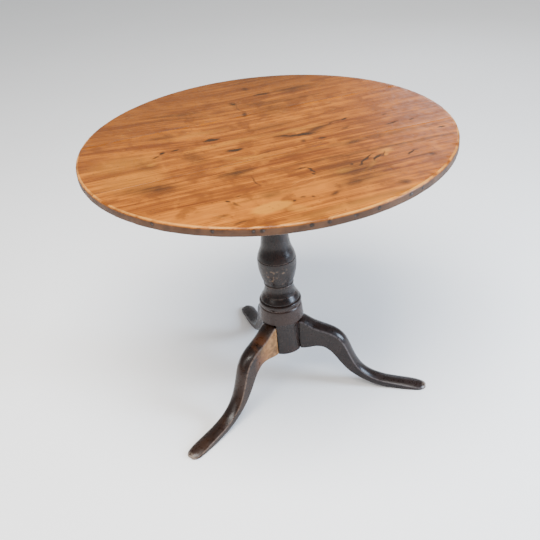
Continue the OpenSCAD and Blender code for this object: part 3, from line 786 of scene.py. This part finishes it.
def legSection(leg):
    # the section: a flat underside, upright sides and a crowned upper face with an arris each side
    half = legSize["width"] / 2
    arc = (half ** 2 + legSize["crown"] ** 2) / (2 * legSize["crown"])
    centre = legSize["crown"] - arc
    editOn(leg)
    bpy.ops.mesh.select_all(action="SELECT")
    bpy.ops.mesh.delete(type="VERT")
    bpy.ops.mesh.primitive_circle_add(vertices=44, radius=arc, fill_type="NGON", location=(0, 0, centre),
                                      rotation=(0, math.pi / 2, 0))
    for y, normal in ((half, 1), (-half, -1)):
        bpy.ops.mesh.select_all(action="SELECT")
        bpy.ops.mesh.bisect(plane_co=(0, y, 0), plane_no=(0, normal, 0), clear_outer=True)
    bpy.ops.mesh.select_all(action="SELECT")
    bpy.ops.mesh.bisect(plane_co=(0, 0, -legSize["cut"]), plane_no=(0, 0, 1), clear_inner=True)
    # the lower edge is drawn down to make the sides, and its corners are eased
    pick(leg, "edges", lambda e: all(abs(v.z + legSize["cut"]) < close for v in ends(e)))
    for step in (legSize["upperSide"], legSize["lowerSide"]):
        bpy.ops.mesh.extrude_region_move(TRANSFORM_OT_translate={"value": (0, 0, -step)})
    pick(leg, "verts", lambda v: v.co.z < legUnder + 1 * mm)
    bpy.ops.mesh.bevel(offset=legSize["lowRound"], segments=3, affect="VERTICES")
    pick(leg, "verts", lambda v: abs(v.co.z) < 1.2 * mm and abs(abs(v.co.y) - half) < 0.2 * mm)
    bpy.ops.mesh.bevel(offset=legSize["arris"], segments=2, affect="VERTICES")
    bpy.ops.mesh.select_all(action="SELECT")
    bpy.ops.mesh.dissolve_faces()
    mesh = bmesh.from_edit_mesh(leg.data)
    return [v.co.copy() for v in mesh.faces[:][0].verts]


def stationRing(section, station):
    # the section drawn out to a station's height and width, tipped and moved to its place
    topX, topZ, lowX, lowZ, width, crown = (value * mm for value in station)
    line = Vector((topX - lowX, 0, topZ - lowZ))
    upper = min(crown, line.length * legSize["crownShare"]) / legSize["crown"]
    lower = min(1.0, line.length / legSize["thin"])
    sideDrop = min(legSize["cut"] + legSize["upperSide"] + crown, line.length * legSize["sideShare"])
    turn = Matrix.Rotation(math.atan2(line.x, line.z), 4, "Y")
    middle = Vector(((topX + lowX) / 2, 0, (topZ + lowZ) / 2))
    ring = []
    for point in section:
        z = (point.z - legSize["crown"]) * upper + line.length / 2
        if point.z < legSize["undersideFrom"]:
            z = (point.z - legUnder) * lower - line.length / 2
        elif point.z < legSize["sidesFrom"]:
            z = line.length / 2 - sideDrop
        ring.append(turn @ Vector((0, point.y * width / legSize["width"], z)) + middle)
    return ring


def makeLeg():
    deselectAll()
    bpy.ops.mesh.primitive_plane_add(size=0.01)
    leg = named("leg")
    section = legSection(leg)
    bpy.ops.mesh.select_all(action="SELECT")
    bpy.ops.mesh.delete(type="VERT")
    mesh = bmesh.from_edit_mesh(leg.data)
    arris = mesh.verts.layers.float.new("arris")
    rings = []
    for station in smoothRun(legStations, 2):
        ring = [mesh.verts.new(p) for p in stationRing(section, station)]
        for v, point in zip(ring, section):
            # points on the outer arrises, which the finish paints with a highlight
            wearAndHighlight = abs(point.z) < 1.5 * mm and abs(point.y) > legSize["arrisOut"]
            v[arris] = 1.0 if wearAndHighlight else 0.0
        rings.append(ring)
    count = len(section)
    for a, b in zip(rings, rings[1:]):
        for k in range(count):
            mesh.faces.new((a[k], a[(k + 1) % count], b[(k + 1) % count], b[k]))
    mesh.faces.new(rings[0])
    mesh.faces.new(rings[-1])
    bmesh.update_edit_mesh(leg.data)
    bpy.ops.mesh.select_all(action="SELECT")
    bpy.ops.mesh.normals_make_consistent(inside=False)
    editOff()
    rounding = leg.modifiers.new("round", "SUBSURF")
    rounding.levels = rounding.render_levels = 1
    applyAll(leg)
    # flat where the toe stands on the floor and where the shoulder meets the column
    editOn(leg)
    shoulder = legSize["shoulder"] + legSize["shoulderGap"]
    for place, normal in (((0, 0, 0), (0, 0, 1)), ((shoulder, 0, 0), (1, 0, 0))):
        bpy.ops.mesh.select_all(action="SELECT")
        bpy.ops.mesh.bisect(plane_co=place, plane_no=normal, use_fill=True, clear_inner=True)
    editOff()
    return leg


pattern = makeLeg()
legs = []
for turn, name in zip(legSize["turns"], legSize["names"]):
    leg = pattern.copy()
    leg.data = pattern.data.copy()
    leg.name = name
    bpy.context.scene.collection.objects.link(leg)
    leg.data.transform(Matrix.Rotation(math.radians(turn), 4, "Z"))
    unevenness(leg, legSize["hollowWidth"], legSize["hollows"])
    smoothOff(leg, 50)
    legs.append(leg)
bpy.data.objects.remove(pattern)
column = makeColumn()
print("column and legs made")


stainTones = {
    "dark": colour(0.004, 0.0022, 0.002),
    "light": colour(0.013, 0.0055, 0.004),
    "cloud": colour(0.022, 0.007, 0.004),
    "drum": colour(0.028, 0.010, 0.006),
    "paleLine": colour(0.11, 0.075, 0.06),
    "fleck": colour(0.15, 0.095, 0.06),
    # the left leg's tan flank: bare wood, partly painted light on its lit side
    "bareDark": colour(0.17, 0.075, 0.025),
    "bareLight": colour(0.32, 0.16, 0.06),
    "wearAndHighlight": colour(0.16, 0.055, 0.02),
    "toe": colour(0.36, 0.28, 0.22),
    "pits": colour(0.006, 0.004, 0.004),
    # the arris tones are painted highlights along the legs' arrises
    "leftLeg": {"rubbed": colour(0.024, 0.011, 0.006), "arris": colour(0.12, 0.08, 0.06)},
    "otherLegs": {"rubbed": colour(0.016, 0.009, 0.008), "arris": colour(0.09, 0.075, 0.075)},
}
columnBands = {
    # millimetres up the column
    "paleLines": (134.2, 166.2, 196, 271.2),
    "drum": ((160, 120), (88, 99)),
    "flecks": ((204, 222), (266, 250)),
}


def bandUp(tree, level, fades):
    # full between two heights and fading out past each
    first, second = (ramp(tree, level, footLevel + a * mm, footLevel + b * mm) for a, b in fades)
    return times(tree, first, second)


def columnWear(tree, base, local, level, dirt):
    # redder at the drum
    drum = bandUp(tree, level, columnBands["drum"])
    base = blend(tree, times(tree, drum, 0.6), base, stainTones["drum"])
    # paler bands at the crisp lines, and pale flecks of old polish below the widest part
    for line in columnBands["paleLines"]:
        near = maths(tree, "ABSOLUTE", maths(tree, "SUBTRACT", level, footLevel + line * mm))
        band = times(tree, ramp(tree, near, 1.9 * mm, 0.6 * mm), ramp(tree, dirt["Gloss"], 0.35, 0.6))
        base = blend(tree, times(tree, band, 0.45), base, stainTones["paleLine"])
    fleck = ramp(tree, noise(tree, local, 90.0, 3.0), 0.58, 0.68)
    where = bandUp(tree, level, columnBands["flecks"])
    return blend(tree, times(tree, times(tree, fleck, where), 0.6), base, stainTones["fleck"])


def bareAndLitFlank(tree, base, rough, parts, dirt):
    # the left leg's flank by the column, on its window side, is painted tan: partly stain worn through,
    # partly painted light where the window lamp falls on it
    out = parts["X"]
    bare = times(tree, ramp(tree, parts["Y"], 19.6 * mm, 21.2 * mm), ramp(tree, out, 0.128, 0.092))
    bare = times(tree, bare, ramp(tree, dirt["Cloud"], 0.36, 0.5, 0.55, 1.0))
    tan = blend(tree, ramp(tree, dirt["Gloss"], 0.35, 0.65), stainTones["bareDark"], stainTones["bareLight"])
    base = blend(tree, bare, base, tan)
    wearAndHighlight = ramp(tree, maths(tree, "ABSOLUTE", maths(tree, "SUBTRACT", out, 0.105)), 0.035, 0.01)
    wearAndHighlight = times(tree, wearAndHighlight, ramp(tree, dirt["Cloud"], 0.4, 0.55))
    base = blend(tree, times(tree, wearAndHighlight, 0.4), base, stainTones["wearAndHighlight"])
    return base, maths(tree, "ADD", rough, times(tree, bare, 0.25))


def legWearAndHighlight(tree, base, rough, parts, dirt, kind):
    # rubbed through in patches, a pale painted highlight along the arrises, and pale at the end of the toe
    tones = stainTones["leftLeg" if kind == "left" else "otherLegs"]
    arris = put(tree, "Attribute", attribute_name="arris").outputs["Fac"]
    base = blend(tree, ramp(tree, dirt["Cloud"], 0.42, 0.62, 0.25, 0.8), base, tones["rubbed"])
    if kind == "left":
        base, rough = bareAndLitFlank(tree, base, rough, parts, dirt)
    # a pale painted highlight along the outer arrises, stronger in patches
    line = times(tree, ramp(tree, arris, 0.55, 0.95), ramp(tree, dirt["Gloss"], 0.3, 0.6, 0.35, 1.0))
    base = blend(tree, times(tree, line, 0.75), base, tones["arris"])
    toe = times(tree, ramp(tree, parts["X"], 0.360, 0.371), ramp(tree, dirt["Gloss"], 0.3, 0.5))
    return blend(tree, times(tree, toe, 0.5), base, stainTones["toe"]), rough


def stainedWood(name, turn, kind):
    # near-black old stain with red-brown showing through
    material, tree, shader, place = startMaterial(name)
    local = put(tree, "Mapping", {"Vector": place, "Rotation": (0, 0, -turn)}).outputs[0]
    parts = put(tree, "SeparateXYZ", [local]).outputs
    lie = (0, math.pi / 2, 0) if kind == "column" else (0, 0, 0)
    along = put(tree, "Mapping", {"Vector": local, "Rotation": lie}).outputs[0]
    streak = useGroup(tree, grain, {"Vector": along, "Along": 9.0, "Across": 330.0, "Sway": 0.02})
    dirt = useGroup(tree, grime, {"Vector": local, "Size": 26.0, "Pits": 0.3})
    base = blend(tree, ramp(tree, streak["Fine"], 0.35, 0.65), stainTones["dark"], stainTones["light"])
    base = blend(tree, ramp(tree, dirt["Cloud"], 0.5, 0.7, 0.0, 0.7), base, stainTones["cloud"])
    rough = ramp(tree, dirt["Gloss"], 0.3, 0.7, 0.24, 0.40)
    if kind == "column":
        base = columnWear(tree, base, local, parts["Z"], dirt)
    else:
        base, rough = legWearAndHighlight(tree, base, rough, parts, dirt, kind)
    base = blend(tree, times(tree, dirt["Pits"], 0.6), base, stainTones["pits"])
    height = maths(tree, "SUBTRACT", streak["Height"], dirt["Pits"])
    height = maths(tree, "ADD", height, times(tree, dirt["Gloss"], 0.8))
    joinUp(tree, shader, base, rough, height, 0.14, 0.6)
    shader.inputs["Specular IOR Level"].default_value = 0.25
    shader.inputs["Coat Weight"].default_value = 0.08
    shader.inputs["Coat Roughness"].default_value = 0.2
    return material


def plainWood(name, turn, shift):
    # unpolished wood, brown with age
    material, tree, shader, place = startMaterial(name)
    local = put(tree, "Mapping", {"Vector": place, "Rotation": (0, 0, turn), "Location": shift}).outputs[0]
    streak = useGroup(tree, grain, {"Vector": local, "Along": 8.0, "Across": 280.0, "Sway": 0.03})
    dirt = useGroup(tree, grime, {"Vector": local, "Size": 30.0, "Pits": 0.3})
    base = blend(tree, ramp(tree, streak["Fine"], 0.3, 0.7), colour(0.045, 0.022, 0.010),
                 colour(0.15, 0.078, 0.036))
    base = blend(tree, ramp(tree, streak["Broad"], 0.45, 0.7, 0.0, 0.6), base, colour(0.19, 0.105, 0.05))
    base = blend(tree, ramp(tree, dirt["Cloud"], 0.52, 0.7, 0.0, 0.7), base, colour(0.035, 0.019, 0.011))
    base = blend(tree, dirt["Pits"], base, colour(0.012, 0.007, 0.005))
    rough = ramp(tree, dirt["Gloss"], 0.3, 0.7, 0.55, 0.8)
    joinUp(tree, shader, base, rough, maths(tree, "SUBTRACT", streak["Height"], dirt["Pits"]), 0.25, 0.7)
    return material


def metal(name, dark, light, dull, smooth, gloss):
    # old metal: dull in patches, brighter where it is rubbed
    material, tree, shader, place = startMaterial(name)
    dirt = useGroup(tree, grime, {"Vector": place, "Size": 90.0, "Pits": 0.3})
    base = blend(tree, ramp(tree, dirt["Cloud"], 0.35, 0.65), dark, light)
    base = blend(tree, dirt["Pits"], base, dull)
    rough = ramp(tree, dirt["Gloss"], 0.3, 0.7, smooth, smooth + 0.25)
    joinUp(tree, shader, base, rough, maths(tree, "SUBTRACT", dirt["Gloss"], dirt["Pits"]), 0.08, 0.6)
    shader.inputs["Metallic"].default_value = gloss
    return material


iron = metal("old iron", colour(0.035, 0.028, 0.025), colour(0.10, 0.085, 0.08),
             colour(0.09, 0.035, 0.015), 0.5, 0.85)
brass = metal("old brass", colour(0.30, 0.19, 0.07), colour(0.56, 0.38, 0.15),
              colour(0.10, 0.06, 0.025), 0.28, 1.0)
steel = metal("spring steel", colour(0.22, 0.21, 0.20), colour(0.42, 0.41, 0.40),
              colour(0.08, 0.05, 0.03), 0.32, 1.0)

fitPiece(column, "stand", "stand_wood", stainedWood("column stain", 0.0, "column"), "column")
for leg, turn, node, kind in zip(legs, legSize["turns"], legSize["nodes"], ("left", "right", "back")):
    fitPiece(leg, "stand", "stand_wood", stainedWood(kind + " leg stain", math.radians(turn), kind), node)


blockSize = {
    "edge": 1.2 * mm,
    "tenonHole": 18.1 * mm,
    "pocketHalf": 9.1 * mm,
    "pocketDeep": 11 * mm,
    "pocketLow": 676.6 * mm,
    "pocketHigh": 683.8 * mm,
}


def makeBlock():
    size = blockSize
    low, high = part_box("tilt_block")
    block = cubeBetween("tilting_block", low, high)
    # the upper front edge is a quarter round about the pins
    editOn(block)
    pick(block, "edges", lambda e: all(
        abs(v.z - high.z) < close and abs(v.y - low.y) < close for v in ends(e)))
    bpy.ops.mesh.bevel(offset=(high.z - low.z) / 2, segments=14, affect="EDGES")
    editOff()
    softenEdges(block, size["edge"], 2, 50)
    hole = rodBetween("cutter", (0, 0, low.z - past), (0, 0, high.z + past), size["tenonHole"])
    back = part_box("keeper_plate")[1].y
    pocket = cubeBetween("cutter", (-size["pocketHalf"], back - size["pocketDeep"], size["pocketLow"]),
                         (size["pocketHalf"], high.y + past, size["pocketHigh"]))
    carve(block, hole, pocket)
    smoothOff(block, 25)
    return block


bearerSize = {
    "slope": 55 * mm,
    "tip": 12 * mm,
    "edge": 1.5 * mm,
    "pinPlay": 0.08 * mm,
    "well": 6 * mm,
    "wellFloor": 14 * mm,
    "screwsApart": 20 * mm,
}


def makeBearer(name, node, pinNode):
    size = bearerSize
    low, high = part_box(node)
    pinLow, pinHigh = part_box(pinNode)
    bearer = cubeBetween(name, low, high)
    # the ends slope up to thin tips
    editOn(bearer)
    rise = (high.z - low.z) - size["tip"]
    for end, way in ((low.y, 1), (high.y, -1)):
        bpy.ops.mesh.select_all(action="SELECT")
        bpy.ops.mesh.bisect(plane_co=(0, end + way * size["slope"], low.z),
                            plane_no=(0, -way * rise, -size["slope"]), use_fill=True, clear_outer=True)
    editOff()
    softenEdges(bearer, size["edge"], 3, 15)
    pinY, pinZ = (pinLow.y + pinHigh.y) / 2, (pinLow.z + pinHigh.z) / 2
    radius = (pinHigh.z - pinLow.z) / 2 + size["pinPlay"]
    cutters = [rodBetween("cutter", (low.x - past, pinY, pinZ), (high.x + past, pinY, pinZ), radius)]
    middle = (low.x + high.x) / 2
    for y in screwRows:
        well = rodBetween("cutter", (middle, y, low.z - past), (middle, y, high.z - size["wellFloor"]),
                          size["well"], 32)
        cutters.append(well)
    carve(bearer, *cutters)
    smoothOff(bearer, 25)
    return bearer


def screwPlaces():
    # how far along the bearers the screws stand, read from the screws themselves
    rows = sorted(v.co.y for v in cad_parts["bearer_screws_left"].data.vertices)
    groups = [[rows[0]]]
    for y in rows[1:]:
        if y - groups[-1][-1] > bearerSize["screwsApart"]:
            groups.append([])
        groups[-1].append(y)
    return [(g[0] + g[-1]) / 2 for g in groups]


screwRows = screwPlaces()
fitPiece(makeBlock(), "stand", "under_wood", plainWood("block wood", 0.0, (0.4, 0.2, 0.0)), "tilt_block")
for side in ("left", "right"):
    bearer = makeBearer(side + "_bearer", "bearer_" + side, "pivot_pin_" + side)
    finish = plainWood(side + " bearer wood", math.pi / 2, (0.7 if side == "left" else 1.3, 0.0, 0.0))
    fitPiece(bearer, "top", "under_wood", finish, "bearer_" + side)
    low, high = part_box("pivot_pin_" + side)
    pinY, pinZ = (low.y + high.y) / 2, (low.z + high.z) / 2
    pin = rodBetween(side + "_pivot", (low.x, pinY, pinZ), (high.x, pinY, pinZ), (high.z - low.z) / 2)
    softenEdges(pin, 1.2 * mm, 3, 60)
    smoothOff(pin, 40)
    finish = stainedWood(side + " pivot stain", 0.0, "pivot")
    fitPiece(pin, "stand", "stand_wood", finish, "pivot_pin_" + side)
print("block, bearers and pins made")


def makeTack(name, turn):
    # a flat hammered head at the rim, on a short shank
    size = tackSize
    a = math.radians(turn)
    out = Vector((math.cos(a), math.sin(a), 0))
    rim = Vector((0, 0, tackLevel)) + out * topSize["radius"]
    neck = rim - out * size["head"]
    tack = rodBetween(name, rim - out * size["length"], neck, size["shank"], 12)
    editOn(tack)
    pick(tack, "faces", lambda f: f.normal.dot(out) > 0.9)
    bpy.ops.mesh.extrude_region_move(TRANSFORM_OT_translate={"value": (0, 0, 0)})
    bpy.ops.transform.resize(value=(size["headSpread"],) * 3, center_override=neck)
    for step in (size["headEdge"], size["head"] - size["headEdge"]):
        bpy.ops.mesh.extrude_region_move(TRANSFORM_OT_translate={"value": out * step})
    bpy.ops.transform.resize(value=(size["crownShare"],) * 3, center_override=rim)
    editOff()
    smoothOff(tack, 30)
    return tack


def makeTacks():
    made = [makeTack("tack", turn) for turn in tacks]
    deselectAll()
    for tack in made:
        tack.select_set(True)
    bpy.context.view_layer.objects.active = made[0]
    bpy.ops.object.join()
    made[0].name = "tacks"
    return made[0]


fitPiece(makeTacks(), "top", "iron", iron, "rim_tacks")


knobSize = {
    "ball": [(0, 0), (3.4, 0.5), (6.2, 3.0), (7.5, 7.2), (6.4, 11.4), (3.6, 13.6)],
    "collar": [(3.0, 14.2), (3.0, 15.0), (4.4, 15.4), (4.6, 16.2), (4.2, 16.9), (3.0, 17.2)],
    "neck": 3.0,
    "peg": 2.2,
    "pegLong": 6,
    "facets": 48,
}


def makeKnob():
    # turned as the column is: a ball, a collar, a neck and a peg, in millimetres from its lower end
    size = knobSize
    low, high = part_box("catch_knob")
    top = (high.z - low.z) / mm
    line = smoothRun(size["ball"], 4) + size["collar"]
    line += [(size["neck"], top - size["pegLong"]), (size["peg"], top - size["pegLong"])]
    line += [(size["peg"], top), (0, top)]
    knob = spun("knob", [(r * mm, low.z + z * mm) for r, z in line], size["facets"])
    knob.data.transform(Matrix.Translation(((low.x + high.x) / 2, (low.y + high.y) / 2, 0)))
    smoothOff(knob, 35)
    return knob


fitPiece(makeKnob(), "catch_bolt", "brass", brass, "catch_knob")

# the small plates and fastenings keep their shape and take their finish
kept = {
    "catch_plate": brass, "catch_case": brass, "catch_screws": brass, "catch_bolt": brass,
    "keeper_plate": brass, "keeper_screws": brass, "catch_spring": steel,
    "base_plate": iron, "base_plate_nails": iron,
    "bearer_screws_left": iron, "bearer_screws_right": iron,
    "tenon_wedge": plainWood("wedge wood", 0.0, (0.1, 0.5, 0.0)),
}
for node, finish in kept.items():
    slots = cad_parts[node].data.materials
    slots.clear()
    slots.append(finish)
print("fittings finished")


def paleFloor():
    deselectAll()
    bpy.ops.mesh.primitive_plane_add(size=30)
    ground = named("floor")
    material, tree, shader, place = startMaterial("pale floor")
    soft = noise(tree, place, 2.0, 2.0)
    tone = blend(tree, soft, colour(0.96, 0.96, 0.96), colour(0.99, 0.99, 0.99))
    joinUp(tree, shader, tone, ramp(tree, soft, 0.0, 1.0, 0.75, 0.85))
    ground.data.materials.append(material)


lights = {
    # name: azimuth and height in degrees, distance and size in metres, power, colour
    "overhead": (-120, 66, 3.2, 2.4, 2.0, 290, (1.0, 0.97, 0.92)),
    "window": (-33, 17, 2.6, 0.8, 1.1, 120, (0.62, 0.78, 1.0)),
    "farWindow": (50, 17, 3.4, 0.9, 0.6, 9, (0.78, 0.86, 1.0)),
    "leftFill": (-160, 30, 3.4, 1.8, 1.4, 24, (1.0, 0.95, 0.9)),
}


def softLight(name, azimuth, height, distance, width, tall, power, tint):
    lamp = bpy.data.lights.new(name, "AREA")
    lamp.shape = "RECTANGLE"
    lamp.size = width
    lamp.size_y = tall
    lamp.energy = power
    lamp.color = tint
    stand = bpy.data.objects.new(name, lamp)
    a, h = math.radians(azimuth), math.radians(height)
    aim = Vector((0, 0, 0.5))  # every lamp looks at the middle of the column
    away = Vector((math.cos(a) * math.cos(h), math.sin(a) * math.cos(h), math.sin(h)))
    stand.location = aim + away * distance
    stand.rotation_euler = (-away).to_track_quat("-Z", "Y").to_euler()
    bpy.context.scene.collection.objects.link(stand)


def roomLight():
    world = bpy.data.worlds.new("studio")
    bpy.context.scene.world = world
    world.use_nodes = True
    tree = world.node_tree
    back = next(n for n in tree.nodes if n.type == "BACKGROUND")
    back.inputs["Color"].default_value = colour(0.96, 0.98, 1.0)
    back.inputs["Strength"].default_value = 0.55


view = {
    "lens": 50.96,
    "sensor": 36,
    "place": (-0.4739, -1.5500, 1.3676),
    "turns": ((-16.32, "Z"), (57.94, "X"), (-5.46, "Z")),
}


def placeCamera():
    eye = bpy.data.cameras.new("eye")
    eye.lens = view["lens"]
    eye.sensor_width = view["sensor"]
    camera = bpy.data.objects.new("camera", eye)
    place = Matrix.Translation(view["place"])
    for angle, axis in view["turns"]:
        place = place @ Matrix.Rotation(math.radians(angle), 4, axis)
    camera.matrix_world = place
    bpy.context.scene.collection.objects.link(camera)
    bpy.context.scene.camera = camera


paleFloor()
for name, facts in lights.items():
    softLight(name, *facts)
roomLight()
placeCamera()
print("stage set")
